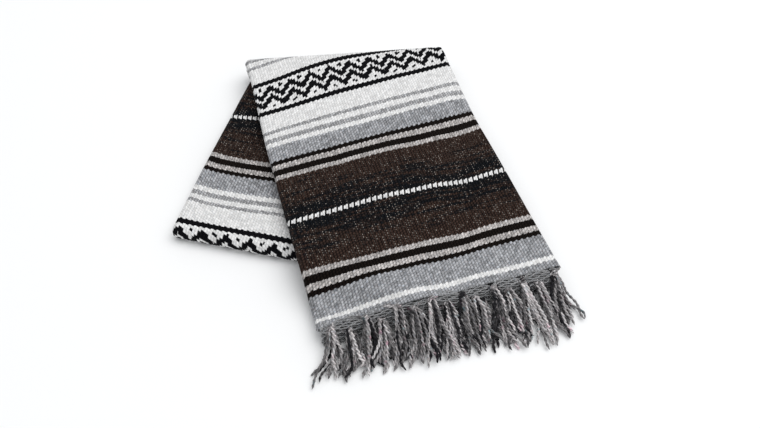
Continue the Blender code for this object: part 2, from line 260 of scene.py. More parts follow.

# %% [markdown]
# The solids are stiff where they bridge the step beside the lower leg. Soft cloth sags there, and creases.
# Each crease is a row of a table: a soft trough, or a ridge where its depth is negative.

# %% Soft falls and creases
SETTLE = (
    # past the lower leg's edge, how much higher the cloth lies there than on the stiff solids
    (-0.060, 0.0000),
    (-0.030, -0.0020),
    (0.000, -0.0052),
    (0.020, -0.0066),
    (0.036, -0.0056),
    (0.052, -0.0022),
    (0.068, 0.0010),
    (0.088, 0.0022),
    (0.115, 0.0014),
    (0.150, 0.0000),
)
SETTLE_FADE = 0.050  # in front of the lower leg, the sag ends over this length
UPPER_CREASES = (
    # middle x, y, direction in degrees, half length, half width, depth
    (0.020, 0.020, 62.0, 0.110, 0.014, 0.0014),
    (0.088, -0.040, 71.0, 0.075, 0.011, 0.0011),
    (-0.070, 0.105, 98.0, 0.060, 0.012, 0.0010),
    (0.110, 0.120, 84.0, 0.085, 0.013, 0.0012),
    (-0.020, 0.205, 12.0, 0.090, 0.016, 0.0012),
    (0.130, 0.235, 150.0, 0.050, 0.011, -0.0009),
    (-0.120, -0.055, 80.0, 0.050, 0.010, -0.0008),
)
LOWER_CREASES = (
    # middle x, y, direction in degrees, half length, half width, depth
    (-0.260, 0.135, 42.0, 0.060, 0.012, 0.0012),
    (-0.190, 0.230, 70.0, 0.055, 0.010, 0.0010),
    (-0.215, 0.100, -30.0, 0.070, 0.012, -0.0009),
)
LOWER_OPEN = (-0.165, 0.020)  # x past which the lower leg's creases fade out, and the length of the fade
LOWER_RIDGE = 0.0008  # no ridge of the lower leg is higher


def creased(table, x, y):
    """Height that the creases of a table add."""
    height = np.zeros_like(x)
    for middle_x, middle_y, direction, half_length, half_width, depth in table:
        turn = math.radians(direction)
        run = ((x - middle_x) * math.cos(turn) + (y - middle_y) * math.sin(turn)) / half_length
        off = ((y - middle_y) * math.cos(turn) - (x - middle_x) * math.sin(turn)) / half_width
        height = height - depth * smooth(1.0 - run * run) * np.exp(-off * off)
    return height


def settled(x, y):
    """How much higher or lower the soft top cloth lies than the stiff solids, with its creases."""
    beside, before = past_lower_edge(x, y)
    sag = curve_through(SETTLE, 1, beside) * (1.0 - smooth(before / SETTLE_FADE))
    return sag + creased(UPPER_CREASES, x, y)


def settled_lower(x, y):
    """The same for the lower leg, which only has creases."""
    open_side = 1.0 - smooth((x - LOWER_OPEN[0]) / LOWER_OPEN[1])
    return np.minimum(creased(LOWER_CREASES, x, y) * open_side, LOWER_RIDGE)


print(len(UPPER_CREASES) + len(LOWER_CREASES), "creases")

# %% Places in the two legs
UPPER_FADE = 0.030  # the sag and creases end this far before the slanting fold
LOWER_FADE = 0.020  # and the lower leg's this far from the middle fold


def upper_place(share, inset, along, depth):
    """A place in the upper leg. along runs from the dashed line away from the fringe, and round the fold."""
    left, right = upper_sides(np.clip((along - NEAR_END) / (AXIS_Y - NEAR_END), 0.0, 1.0))
    x = left + inset + (right - left - 2.0 * inset) * share
    past = np.maximum(along - axis_y(x), 0.0)
    y = np.minimum(along, axis_y(x))
    over = 1.0 - smooth(depth / PACKET)  # only the cloth above the first packet's middle gives way
    near_fold = smooth((axis_y(x) - y) / UPPER_FADE)
    rest_height = support(x, np.maximum(y, near_end_y(x))) + settled(x, y) * over * near_fold
    flat = np.stack((x, y, rest_height + LEG - depth), axis=-1)
    angle = past * math.cos(SLANT) / TOP_RADIUS
    beyond = np.maximum(angle - math.pi, 0.0) * TOP_RADIUS
    angle = np.minimum(angle, math.pi)
    radius = TOP_RADIUS - depth
    slips = smooth(share / HELD_SHARE)  # the left edge doesn't slip on the slanting fold as the rest does
    drift = TOP_RADIUS * angle * math.tan(SLANT) * TOP_SLIP * slips
    drift = drift - FOLD_INSET * smooth(angle / INSET_TURN) * (1.0 - slips)
    out = radius * np.sin(angle) - beyond
    turned = np.stack((
        x - math.cos(SLANT) * drift + math.sin(SLANT) * out,
        axis_y(x) + math.sin(SLANT) * drift + math.cos(SLANT) * out,
        TOP_RADIUS + radius * np.cos(angle),
    ), axis=-1)
    return np.where(past[..., None] > 0.0, turned, flat) - REST


def lower_place(share, inset, along, depth):
    """A place in the lower leg. along runs from the middle fold's axis to the slanting fold, and is negative
    on the way round the middle fold."""
    length = lower_length(STRIP * share)
    left, right = edges_at(LOWER_EDGES, np.clip(along / length, 0.0, 1.0))
    side = left + inset + (right + STRIP - left - 2.0 * inset) * share
    start = LOWER_CORNER + LOWER_ACROSS * side[..., None]
    angle = np.clip(-along / MIDDLE_RADIUS, 0.0, math.pi)
    radius = MIDDLE_RADIUS - depth
    run = np.maximum(along, 0.0) - radius * np.sin(angle)
    height = np.where(along > 0.0, LEG - depth, MIDDLE_RADIUS + radius * np.cos(angle))
    place = start + LOWER_ALONG * run[..., None]
    over = (1.0 - smooth(depth / PACKET)) * smooth(along / LOWER_FADE)
    place[..., 2] = height + settled_lower(place[..., 0], place[..., 1]) * over
    return place - REST


def share_across(arc):
    """Share of the way across a packet, at an arc length from its centreline."""
    return np.clip(0.5 + arc / (2.0 * FLAT_HALF), 0.0, 1.0)


def packet_round(arc, rise):
    """Inset and depth at an arc length from the centreline round a packet, raised by rise."""
    past = np.maximum(np.abs(arc) - FLAT_HALF, 0.0)
    angle = np.minimum(past / ROLL, math.pi)
    tucked = np.maximum(past - math.pi * ROLL, 0.0)
    radius = ROLL + rise
    return ROLL - radius * np.sin(angle) + tucked, ROLL - radius * np.cos(angle)


print("the top fold turns round a radius of", round(TOP_RADIUS * 1000, 1), "mm")

# %% [markdown]
# ## How the weave is built
# Falsa cloth is weft-faced: thick weft yarns bulge over thin warps and hide them. So its face is rows of
# beads on lengthwise ribs, and the beads of one rib sit halfway between those of the next. The same lattice
# is used twice here. It raises the mesh of the cloth, and in the material it gives each bead one yarn's
# colour, which makes every stripe's edge step from bead to bead.

# %% The lattice of beads
RIB = 0.00412  # 80 across the strip
PICK = 0.0021  # from one weft yarn to the next
BEAD_RISE = 0.00055
BEAD_DIP = 0.7  # share of a bead's height by which the mesh falls at its ends
END_POWER = 2.5  # how suddenly a bead falls at its ends


def bead_height(arc, along):
    """Height of the beads, from 0 between ribs to 1 on a bead's crown."""
    across = arc / RIB
    rib = np.floor(across)
    beside = across - rib - 0.5
    shifted = along / (2.0 * PICK) + np.mod(rib, 2.0) / 2.0
    between = shifted - np.floor(shifted) - 0.5
    crown = (1.0 - (2.0 * beside) ** 2) * (1.0 - BEAD_DIP * np.abs(2.0 * between) ** END_POWER)
    return np.clip(crown, 0.0, 1.0)


print("the strip has", round(STRIP / RIB), "ribs")

# %% [markdown]
# ## Shader groups
# The weave is used by every cloth piece, and the flecked yarn colour by cloth and fringe, so both are node
# groups with named inputs. A pattern takes many Math nodes. So a node's output is wrapped in a small class
# with the usual signs of arithmetic, and a formula written in Python places the nodes for it.

# %% Helpers for node trees
class Value:
    """A number or colour that changes over the surface. Arithmetic with it adds Math nodes to its tree."""

    def __init__(self, socket):
        self.socket = socket

    def __add__(self, other):
        return maths("ADD", self, other)

    def __sub__(self, other):
        return maths("SUBTRACT", self, other)

    def __rsub__(self, other):
        return maths("SUBTRACT", other, self)

    def __mul__(self, other):
        return maths("MULTIPLY", self, other)

    def __truediv__(self, other):
        return maths("DIVIDE", self, other)

    def __pow__(self, other):
        return maths("POWER", self, other)

    def __abs__(self):
        return maths("ABSOLUTE", self)

    def __lt__(self, other):
        return maths("LESS_THAN", self, other)

    def __gt__(self, other):
        return maths("GREATER_THAN", self, other)

    __radd__ = __add__


def tree_of(values):
    """The node tree of the first Value among some inputs."""
    return next(value.socket.id_data for value in values if isinstance(value, Value))


def feed(socket, value):
    """Link a Value to an input, or set the input to a number or a colour."""
    if isinstance(value, Value):
        socket.id_data.links.new(value.socket, socket)
    elif isinstance(value, tuple):
        socket.default_value = (*value, 1.0)
    else:
        socket.default_value = value


def put(tree, kind, *values, **settings):
    """Add a node, set its options, and feed its inputs in order."""
    node = tree.nodes.new(kind)
    for name, value in settings.items():
        setattr(node, name, value)
    for socket, value in zip(node.inputs, values):
        feed(socket, value)
    return node


def made(kind, *values, output=0, **settings):
    """What a new node makes of some values."""
    return Value(put(tree_of(values), kind, *values, **settings).outputs[output])


def maths(operation, *values):
    """What a Math node makes of some values."""
    return made("ShaderNodeMath", *values, operation=operation)


def combined(*parts):
    """A place, or a colour, of up to three values."""
    return made("ShaderNodeCombineXYZ", *parts)


def blend(share, first, second, kind="MIX"):
    """Mix two colours."""
    tree = tree_of((share, first, second))
    node = put(tree, "ShaderNodeMix", data_type="RGBA", blend_type=kind)
    sockets = {socket.identifier: socket for socket in (*node.inputs, *node.outputs)}
    feed(sockets["Factor_Float"], share)
    feed(sockets["A_Color"], first)
    feed(sockets["B_Color"], second)
    return Value(sockets["Result_Color"])


def darkened(colour, shade):
    """A colour times a number."""
    return blend(1.0, colour, combined(shade, shade, shade), "MULTIPLY")


def step_between(value, low, high):
    """Ease a value from 0 at low to 1 at high."""
    return made("ShaderNodeMapRange", value, low, high, interpolation_type="SMOOTHSTEP")


def ramp(value, rows, interpolation="LINEAR"):
    """A colour read from rows of (place, colour)."""
    node = put(tree_of((value,)), "ShaderNodeValToRGB", value)
    node.color_ramp.interpolation = interpolation
    stops = node.color_ramp.elements
    for number, (place, colour) in enumerate(rows):
        stop = stops[number] if number < 2 else stops.new(place)
        stop.position = place
        stop.color = (*colour, 1.0)
    return Value(node.outputs[0])


def noise(across, along, grain):
    """A noise value. A grain is its cells per mm across and along, its detail and its roughness."""
    cells_across, cells_along, detail, roughness = grain
    place = combined(across * cells_across, along * cells_along)
    node = put(tree_of((place,)), "ShaderNodeTexNoise", place)
    node.inputs["Scale"].default_value = 1.0
    node.inputs["Detail"].default_value = detail
    node.inputs["Roughness"].default_value = roughness
    return Value(node.outputs["Fac"])


def dice(*place):
    """A random number from 0 to 1 for each place, given by two or three values."""
    dimensions = f"{len(place)}D"
    return made("ShaderNodeTexWhiteNoise", combined(*place), output="Value", noise_dimensions=dimensions)


def shader_group(name, inputs, outputs, pattern):
    """A shader group whose outputs are what pattern makes of its inputs, which are (name, default)."""
    tree = bpy.data.node_groups.new(name, "ShaderNodeTree")
    for socket_name, default in inputs:
        kind = "NodeSocketColor" if isinstance(default, tuple) else "NodeSocketFloat"
        feed(tree.interface.new_socket(socket_name, in_out="INPUT", socket_type=kind), default)
    for socket_name in outputs:
        kind = "NodeSocketColor" if socket_name == "Color" else "NodeSocketFloat"
        tree.interface.new_socket(socket_name, in_out="OUTPUT", socket_type=kind)
    source = tree.nodes.new("NodeGroupInput")
    result = tree.nodes.new("NodeGroupOutput")
    patterned = pattern(*[Value(socket) for socket in source.outputs[:len(inputs)]])
    for socket, value in zip(result.inputs, patterned):
        feed(socket, value)
    print("group", name, "with", len(tree.nodes), "nodes")
    return tree


def use_group(group, **inputs):
    """Place a group, feed its inputs by name, with underscores for spaces, and give its outputs by name."""
    node = put(tree_of(inputs.values()), "ShaderNodeGroup", node_tree=group)
    for name, value in inputs.items():
        feed(node.inputs[name.replace("_", " ")], value)
    return {socket.name: Value(socket) for socket in node.outputs}


MM = 1000.0
print("helpers ready")

# %% [markdown]
# The first group finds, for any point of the cloth, the bead that it lies on: how far along that bead's
# middle lies, how high the yarn stands there, and a random number for the bead. Its slant leans the beads as
# spun yarn does. It also says where a warp shows by chance, in the gap between two ribs where a bead ends.

# %% Group: woven beads
DRAWN_DIP = 0.85  # the same fall in the material
PLY_LEAN = 1.1
PLY_STEP = 12.6  # two full turns of the plies to a bead
PLY_HEIGHT = 0.09
WARP_ACROSS = 5.6  # the larger, the smaller a spot of warp is
WARP_ALONG = 4.4


def woven_beads(across_mm, along_mm, slant):
    across = across_mm / (RIB * MM)
    rib = maths("FLOOR", across)
    beside = across - rib - 0.5
    half = maths("FLOORED_MODULO", rib, 2.0) * 0.5
    shifted = along_mm / (2.0 * PICK * MM) + half - beside * slant
    bead = maths("FLOOR", shifted)
    between = shifted - bead - 0.5
    bead_along = (bead + 0.5 - half) * (2.0 * PICK * MM)
    round_across = 1.0 - abs(beside * 2.0) ** 2.0
    round_along = 1.0 - abs(between * 2.0) ** END_POWER * DRAWN_DIP
    crown = maths("MAXIMUM", round_across * round_along, 0.0)
    ply = maths("SINE", (beside * PLY_LEAN + between) * PLY_STEP)
    height = crown ** 0.6 + ply * PLY_HEIGHT
    off_gap = (0.5 - abs(beside)) * WARP_ACROSS
    off_end = (0.5 - abs(between)) * WARP_ALONG
    chance = dice(maths("ROUND", across), maths("ROUND", shifted), 7.0)
    warp = (off_gap ** 2.0 + off_end ** 2.0 < chance) * chance
    return bead_along, height, dice(rib, bead), crown, warp


beads_group = shader_group(
    "woven beads",
    (("Across mm", 0.0), ("Along mm", 0.0), ("Slant", 0.45)),
    ("Bead along mm", "Height", "Random", "Crown", "Warp shows"),
    woven_beads,
)

# %% [markdown]
# The second group is the weaver's plan. Going away from the dashed line in the middle of a dark band, the
# stripes come in the order of this table, and after the zigzag band they come back in mirror order. So one
# ping-pong of the distance serves the whole blanket. The zigzag is a formula, read rib by rib so that it
# climbs in steps: two parallel folded lines, with a spot in each open corner.

# %% The plan of stripes
BLACK = (0.0045, 0.0045, 0.0065)
NAVY = (0.0058, 0.0070, 0.0096)
BROWN = (0.0455, 0.0265, 0.0202)
DARK_BROWN = (0.0095, 0.0060, 0.0046)
WARM_GRAY = (0.53, 0.50, 0.48)
GRAY = (0.388, 0.394, 0.408)
MID_GRAY = (0.435, 0.435, 0.44)
WHITE = (0.765, 0.76, 0.75)
HALF_REPEAT = 0.2490  # from the dashed line to the middle of the zigzag band
STRIPES = (
    # starts at this distance from the dashed line, colour
    (0.0000, BROWN),
    (0.0842, WARM_GRAY),
    (0.0920, DARK_BROWN),
    (0.1030, WARM_GRAY),
    (0.1110, DARK_BROWN),
    (0.1182, GRAY),
    (0.1430, WHITE),
    (0.1508, MID_GRAY),
    (0.1597, WHITE),
    (0.1709, MID_GRAY),
    (0.1774, WHITE),
    (0.2126, BLACK),
    (0.2208, WHITE),
)
DASH_HALF = 0.0034
DASH_REPEAT = 2.0 * RIB
DASH_WIDTH_HALF = 0.0029
DASH_LEAN = -0.25
ZIGZAG_REPEAT = 0.0345
ZIGZAG_SHIFT = 0.0162
ZIGZAG_SWING = 0.0092
ZIGZAG_PLACES = (0.0098, -0.0088)
ZIGZAG_HALF = 0.0062
ZIGZAG_STEP = 0.7  # 1 climbs in whole ribs, 0 runs straight
SPOT_PLACE = 0.0198
SPOT_HALF = 0.0024
SPOT_FROM = 0.62  # share of the swing past which a corner is open enough for a spot
BAND_HALF = 0.0288
END_PLAIN = -0.1400  # from here to the fringe the last gray stripe runs on
END_LINE = -0.1553
END_LINE_HALF = 0.0034
STAGGER = 0.42  # how much of the step from bead to bead shows at a stripe's edge
LONG_STREAK = (0.011, 0.16, 3.0, 0.62)
FINE_STREAK = (0.018, 0.34, 2.0, 0.55)
STREAK_SHARES = (0.50, 0.60)
STREAK_NEAR = 0.115  # how much the streaks gain beside the dashed line
STREAK_LOSS = 0.0029  # and what they lose with each mm away from it
STREAK_EDGES = (0.49, 0.63)


def stripe_plan(across, smooth_along, bead_along):
    along = smooth_along + (bead_along - smooth_along) * STAGGER
    distance = maths("PINGPONG", along, HALF_REPEAT * MM)
    rows = [(start / HALF_REPEAT, colour) for start, colour in STRIPES]
    colour = ramp(distance / (HALF_REPEAT * MM), rows, "CONSTANT")

    dark = distance < STRIPES[1][0] * MM
    streak = noise(across, smooth_along, LONG_STREAK) * STREAK_SHARES[0]
    streak = streak + noise(across, along, FINE_STREAK) * STREAK_SHARES[1]
    streaky = step_between(streak + (STREAK_NEAR - distance * STREAK_LOSS), *STREAK_EDGES)
    colour = blend(dark * streaky, colour, NAVY)

    dash_row = abs(distance) < DASH_HALF * MM
    half_dash_repeat = DASH_REPEAT / 2.0 * MM
    turn = maths("WRAP", across + smooth_along * DASH_LEAN, -half_dash_repeat, half_dash_repeat)
    dash = abs(turn) < DASH_WIDTH_HALF * MM
    colour = blend(dash_row, colour, BLACK)
    colour = blend(dash_row * dash, colour, WHITE)

    rib_start = maths("FLOOR", across / (RIB * MM)) * (RIB * MM)
    stepped = across * (1.0 - ZIGZAG_STEP) + rib_start * ZIGZAG_STEP
    swing = maths("PINGPONG", stepped - ZIGZAG_SHIFT * MM, ZIGZAG_REPEAT / 2.0 * MM)
    swing = swing * (4.0 / (ZIGZAG_REPEAT * MM)) - 1.0
    from_band = maths("WRAP", bead_along - HALF_REPEAT * MM, -HALF_REPEAT * MM, HALF_REPEAT * MM)
    in_band = abs(from_band) < BAND_HALF * MM
    from_line = from_band - swing * (ZIGZAG_SWING * MM)
    marks = [abs(from_line - place * MM) < ZIGZAG_HALF * MM for place in ZIGZAG_PLACES]
    for side in (1.0, -1.0):
        near_row = abs(from_band - side * SPOT_PLACE * MM) < SPOT_HALF * MM
        marks.append(near_row * (swing * -side > SPOT_FROM))
    for mark in marks:
        colour = blend(in_band * mark, colour, BLACK)

    colour = blend(along < END_PLAIN * MM, colour, GRAY)
    colour = blend(abs(along - END_LINE * MM) < END_LINE_HALF * MM, colour, WHITE)
    return colour, dark


plan_group = shader_group(
    "stripe plan",
    (("Across mm", 0.0), ("Along mm", 0.0), ("Bead along mm", 0.0)),
    ("Color", "Dark"),
    stripe_plan,
)

# %% [markdown]
# The third group turns a plain colour into spun, heathered yarn. Spun yarn is never even: each bead is a
# little lighter or darker, and fibres of blue, rose and gray run through it. The fibres lean the way the yarn
# is spun.

# %% Group: heathered yarn
FIBRE_LEAN = 0.9
FIBRE_LIGHT = 1.8  # how much lighter or darker the fibres, the beads and broad patches are
BEAD_LIGHT = 0.50
PATCH_LIGHT = 0.42
FIBRES = (0.40, 0.75, 3.0, 0.7)
PATCHES = (0.05, 0.35, 2.0, 0.6)
DOTS = (0.50, 0.55, 1.0, 0.5)
DOT_EDGES = (0.58, 0.70)
HUES = (0.22, 0.7, 2.0, 0.7)
TINTS = (
    # where in the noise, tint
    (0.30, (0.85, 0.93, 1.07)),
    (0.44, (1.0, 1.0, 1.0)),
    (0.57, (1.0, 1.0, 1.0)),
    (0.72, (1.12, 0.97, 1.0)),
)


def heathered_yarn(colour, across, along, random, amount, speckle):
    leaning = along - across * FIBRE_LEAN
    fibre = noise(across, leaning, FIBRES)
    patch = noise(across, along, PATCHES)
    light = (fibre - 0.5) * FIBRE_LIGHT + (random - 0.5) * BEAD_LIGHT + (patch - 0.5) * PATCH_LIGHT
    dots = step_between(noise(across, leaning, DOTS), *DOT_EDGES)
    shaded = darkened(colour, (1.0 + light * amount) * (1.0 - dots * speckle))
    tinted = blend(1.0, shaded, ramp(noise(across, along, HUES), TINTS), "MULTIPLY")
    return blend(amount, shaded, tinted), fibre


heather_group = shader_group(
    "heathered yarn",
    (
        ("Color", (0.5, 0.5, 0.5)), ("Across mm", 0.0), ("Along mm", 0.0), ("Random", 0.5), ("Amount", 1.0),
        ("Speckle", 0.3),
    ),
    ("Color", "Fibre"),
    heathered_yarn,
)

# %% [markdown]
# ## The cloth material
# The shader itself stays in the material: a matt base with a trace of sheen, as brushed acrylic yarn has. The
# colour darkens in the gaps between beads, where real cloth shades itself, and a bump adds the roundness and
# the plies that the mesh is too coarse for.

# %% Material: striped weave
MATT = 0.95
LOW_GLOSS = 0.06
WARP = (0.42, 0.375, 0.33)
WARP_EDGES = (0.50, 1.0)
WARP_SHARE = 0.70
WHITE_EDGES = (0.60, 0.72)  # brightness from gray yarn to white
GRAY_EDGES = (0.08, 0.25)  # from dark yarn to gray
DARK_EDGES = (0.05, 0.15)  # from dark yarn to any other
HEATHER = 0.55  # how heathered plain yarn is, and how much more gray yarn is
GRAY_HEATHER = 0.75
FLECKS = 0.18  # the same for its dark flecks
GRAY_FLECKS = 0.40
WHITE_CROWN = 0.7  # how much of a white bead lies in the shade of its gaps; of other beads, all of it
DARK_GAP_SHADE = -0.70  # how much deeper the painted shade in the gaps is in dark and in gray yarn
GRAY_GAP_SHADE = -0.28
LEAST_GAP_SHADE = 0.05
FIBRE_HEIGHT = 0.30


def yarn_shader(name, sheen, uv_map):
    """A matt material, its shader, and the two places of its UV map."""
    finish, shader = new_finish(name, MATT)
    shader.inputs["Specular IOR Level"].default_value = LOW_GLOSS
    shader.inputs["Sheen Weight"].default_value = sheen
    shader.inputs["Sheen Roughness"].default_value = 0.5
    place = Value(put(finish.node_tree, "ShaderNodeUVMap", uv_map=uv_map).outputs[0])
    parts = put(finish.node_tree, "ShaderNodeSeparateXYZ", place).outputs
    return finish, shader, Value(parts[0]), Value(parts[1])


def dress(shader, colour, height, strength, distance):
    """Feed a shader its colour and a bump."""
    feed(shader.inputs["Base Color"], colour)
    bump = put(shader.id_data, "ShaderNodeBump")
    bump.inputs["Strength"].default_value = strength
    bump.inputs["Distance"].default_value = distance
    feed(bump.inputs["Height"], height)
    feed(shader.inputs["Normal"], Value(bump.outputs[0]))


def woven_finish(name, gap_shade, dim):
    """Striped weave. gap_shade is how dark the painted shade in the gaps between beads is, dim how much the
    whole is painted darker, as shade.
    """
    finish, shader, across, along = yarn_shader(name, 0.025, "weave")
    across = across * MM
    along = along * MM
    beads = use_group(beads_group, Across_mm=across, Along_mm=along)
    plan = use_group(plan_group, Across_mm=across, Along_mm=along, Bead_along_mm=beads["Bead along mm"])
    brightness = made("ShaderNodeRGBToBW", plan["Color"])
    not_white = 1.0 - step_between(brightness, *WHITE_EDGES)
    gray_yarn = step_between(brightness, *GRAY_EDGES) * not_white
    dark_yarn = 1.0 - step_between(brightness, *DARK_EDGES)
    heather = use_group(
        heather_group, Color=plan["Color"], Across_mm=across, Along_mm=along, Random=beads["Random"],
        Amount=HEATHER + gray_yarn * GRAY_HEATHER, Speckle=FLECKS + gray_yarn * GRAY_FLECKS,
    )
    # painted shade: the colour is darkened in the gaps between ribs and towards the ends of each bead, most
    # in dark yarn
    crown = step_between(beads["Crown"], 0.0, WHITE_CROWN + not_white * (1.0 - WHITE_CROWN))
    painted_gap_shade = maths("MAXIMUM", gap_shade + (dark_yarn * DARK_GAP_SHADE + gray_yarn * GRAY_GAP_SHADE), LEAST_GAP_SHADE)
    colour = darkened(heather["Color"], (painted_gap_shade + crown * (1.0 - painted_gap_shade)) * dim)
    warp = step_between(beads["Warp shows"], *WARP_EDGES) * plan["Dark"] * WARP_SHARE
    colour = blend(warp, colour, WARP)
    dress(shader, colour, beads["Height"] + heather["Fibre"] * FIBRE_HEIGHT, 0.9, BEAD_RISE)
    return finish


striped_weave = woven_finish("striped weave", 0.78, 1.0)
# the inner layers get a copy of the weave painted darker as shade: dimmer all over, with deeper painted shade
# in its gaps
shaded_hidden_weave = woven_finish("striped weave of the inner layers", 0.60, 0.88)
print("materials", striped_weave.name, "and", shaded_hidden_weave.name)

# %% [markdown]
# ## The outer cloth
# A flat grid with one column of vertices on each rib and one between, and a row on each weft, is laid onto
# the folds by the functions above. Rows follow the stripes, which bow a little in the photograph, so a short
# table says how far each stripe is drawn along the leg at nine places across.

# %% How the stripes run
UPPER_STATIONS = (0.0, 0.12, 0.25, 0.37, 0.50, 0.62, 0.74, 0.86, 1.0)
UPPER_RUN = (
    # distance from the dashed line, then how much further along the leg that stripe lies at each station
    (-0.1645, 0.0107, 0.0080, 0.0040, -0.0010, -0.0018, -0.0009, -0.0032, -0.0056, -0.0076),
    (-0.1553, 0.0072, 0.0058, 0.0028, -0.0014, -0.0020, -0.0010, -0.0030, -0.0052, -0.0071),
    (-0.1060, 0.0039, -0.0008, -0.0036, -0.0042, -0.0044, -0.0022, -0.0014, -0.0018, -0.0034),
    (0.0000, -0.0038, -0.0038, -0.0036, -0.0030, -0.0030, -0.0040, -0.0036, -0.0012, -0.0001),
    (0.1060, -0.0094, -0.0089, -0.0087, -0.0085, -0.0084, -0.0084, -0.0070, -0.0029, 0.0066),
    (0.1552, -0.0041, -0.0023, -0.0010, -0.0007, -0.0004, 0.0010, 0.0040, 0.0070, 0.0114),
    (0.1741, -0.0058, -0.0030, -0.0008, 0.0008, 0.0018, 0.0026, 0.0040, 0.0074, 0.0121),
    (0.2167, -0.0056, -0.0034, 0.0008, 0.0044, 0.0060, 0.0066, 0.0073, 0.0092, 0.0140),
    (0.2820, -0.0034, 0.0020, 0.0105, 0.0152, 0.0160, 0.0130, 0.0098, 0.0096, 0.0117),
)
LOWER_RUN = (
    # share across, then how much nearer to the middle fold the dashed line and the gray stripes lie
    (0.00, 0.0050, 0.0000),
    (0.06, 0.0040, 0.0028),
    (0.13, 0.0020, 0.0038),
    (0.25, 0.0000, 0.0030),
    (0.40, 0.0000, 0.0000),
)
GRAY_RUN = (
    # distance from the dashed line, then how much nearer to the middle fold the lower leg's stripes lie
    (0.118, 0.0000),
    (0.143, 0.0060),
    (0.155, 0.0066),
    (0.174, 0.0024),
    (0.213, 0.0000),
)
DARK_BAND = 0.085  # over this distance the dashed line's run gives way to the gray stripes'
RUN_END = (0.235, 0.060)  # distance at which the lower leg's runs have faded out, and the length of the fade
LOWER_START = 0.2265  # distance from the dashed line at the middle fold's axis


def upper_along(arc, distance):
    """Where along the upper leg a stripe lies, at an arc length from the centreline."""
    share = share_across(arc)
    drawn = np.zeros_like(share + distance)
    rows = [curve_through(UPPER_RUN, number + 1, distance) for number in range(len(UPPER_STATIONS))]
    slopes = np.gradient(np.array(rows), np.array(UPPER_STATIONS), axis=0)
    for number, (low, high) in enumerate(zip(UPPER_STATIONS, UPPER_STATIONS[1:])):
        part = np.clip((share - low) / (high - low), 0.0, 1.0)
        here = cubic(part, high - low, rows[number], rows[number + 1], slopes[number], slopes[number + 1])
        drawn = np.where(share >= low, here, drawn)
    return distance + drawn


def lower_along(arc, distance):
    """Where along the lower leg a stripe lies."""
    share = share_across(arc)
    at_dash = curve_through(LOWER_RUN, 1, share)
    at_gray = curve_through(LOWER_RUN, 2, share)
    drawn = at_gray + (at_dash - at_gray) * (1.0 - smooth(np.abs(distance) / DARK_BAND))
    drawn = drawn * smooth((RUN_END[0] - distance) / RUN_END[1]) + curve_through(GRAY_RUN, 1, distance)
    return LOWER_START - distance - drawn


print("stripe run given at", len(UPPER_RUN), "places")

# %% Laying a grid as cloth
SELVAGE = FLAT_HALF + math.pi * ROLL + TUCK
TUCK_TURN = 0.25 * math.pi * ROLL  # the beads flatten over the last quarter of the turn round the edge


def grid_mesh(name, columns, rows):
    """A flat grid, with the column and the row of each vertex."""
    form = bmesh.new()
    bmesh.ops.create_grid(form, x_segments=columns, y_segments=rows, size=1.0)
    mesh = mesh_of(form, name)
    flat = np.zeros(len(mesh.vertices) * 3)
    mesh.vertices.foreach_get("co", flat)
    counted = np.round((flat.reshape(-1, 3) + 1.0) / 2.0 * (columns, rows, 0.0)).astype(int)
    return mesh, counted[:, 0], counted[:, 1]


def lay(mesh, places, uv_map, first, second):
    """Move a mesh's vertices, give it a UV map from two values at each vertex, and open it as a bmesh."""
    mesh.vertices.foreach_set("co", places.ravel())
    corners = np.zeros(len(mesh.loops), dtype=int)
    mesh.loops.foreach_get("vertex_index", corners)
    layer = mesh.uv_layers.new(name=uv_map)
    layer.uv.foreach_set("vector", np.stack((first[corners], second[corners]), axis=-1).ravel())
    form = bmesh.new()
    form.from_mesh(mesh)
    return form


def finished(form, mesh):
    """Put a bmesh back into its mesh."""
    form.to_mesh(mesh)
    form.free()
    mesh.shade_smooth()
    return mesh


def woven_sheet(name, first, last, place_row):
    """A woven sheet. place_row(share, arc, distance, rise) gives the places, and which of them stay."""
    columns = 2 * round(SELVAGE / (RIB / 2.0))
    mesh, station, row = grid_mesh(name, columns, round((last - first) / PICK))
    arc = (station - columns // 2) * RIB / 2.0
    distance = first + row * PICK
    rolled_in = smooth((np.abs(arc) - SELVAGE + TUCK + TUCK_TURN) / TUCK_TURN)
    rise = bead_height(arc, distance) * BEAD_RISE * (1.0 - rolled_in)
    places, stays = place_row(share_across(arc), arc, distance, rise)
    form = lay(mesh, places, "weave", arc, distance)
    form.verts.ensure_lookup_table()
    gone = [form.verts[number] for number in np.flatnonzero(~stays)]
    bmesh.ops.delete(form, geom=gone, context="VERTS")
    form.normal_update()
    top = max(form.faces, key=lambda face: face.calc_center_median().z)
    if top.normal.z < 0.0:
        bmesh.ops.reverse_faces(form, faces=form.faces)
    return finished(form, mesh)


def add_piece(mesh, finish, node_name):
    """Link a finished mesh as a piece of the object, in place of a solid."""
    mesh.materials.append(finish)
    piece = bpy.data.objects.new(mesh.name, mesh)
    bpy.context.scene.collection.objects.link(piece)
    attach(piece, "root")
    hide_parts(node_name)
    print(piece.name, len(mesh.polygons), "faces")
    return piece


def thicken(piece, thickness):
    """Give a sheet its thickness, inwards."""
    wall = piece.modifiers.new("cloth thickness", "SOLIDIFY")
    wall.thickness = thickness
    wall.offset = -1.0


print("selvage to selvage of what shows:", round(2 * SELVAGE * 1000), "mm")

# %% The upper stretch
UPPER_FIRST = -0.1690
UPPER_LAST = 0.4180
CLOTH_INNER = 0.0019  # thickness of the sheet under its beads
PAST_TURN = 1.02 * math.pi  # the sheets end just past the half turn of a fold, out of sight


def lay_upper(share, arc, distance, rise):
    along = upper_along(arc, distance)
    inset, depth = packet_round(arc, rise)
    places = upper_place(share, inset, along, depth)
    x = places[:, 0] + REST[0]
    turned = (along - axis_y(x)) * math.cos(SLANT) / TOP_RADIUS
    return places, turned < PAST_TURN


